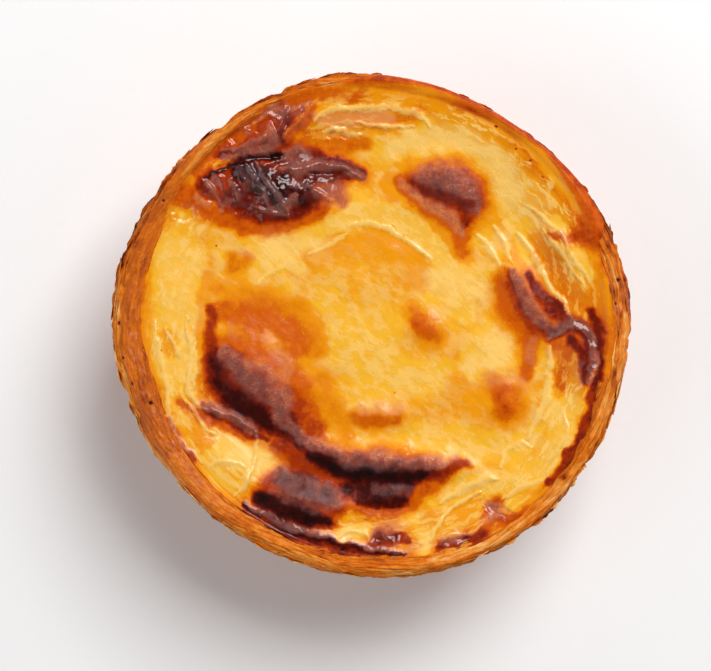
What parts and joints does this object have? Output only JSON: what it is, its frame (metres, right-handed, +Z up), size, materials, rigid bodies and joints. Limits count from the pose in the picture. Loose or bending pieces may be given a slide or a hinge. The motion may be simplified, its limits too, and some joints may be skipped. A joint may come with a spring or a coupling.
{
  "type": "portuguese custard tart",
  "caption": "Small round custard tart: a flared cup of flaky laminated pastry filled with egg custard whose skin is blistered and scorched.",
  "frame": {"origin": "middle of the flat base that the tart stands on", "axes": "+Z up out of the open side of the pastry cup; +X and +Y along the rim's plane, the large glossy scorched patch lying towards -X and +Y"},
  "size_m": [0.075, 0.073, 0.0264],
  "materials": {
    "pastry": "baked flaky pastry, golden brown, buttery satin, darker along the rim",
    "custard": "moist egg custard skin, pale yellow to amber with scorched brown and black patches"
  },
  "bodies": {
    "root": {"pastry_shell": "pastry", "custard_filling": "custard"}
  },
  "joints": []
}
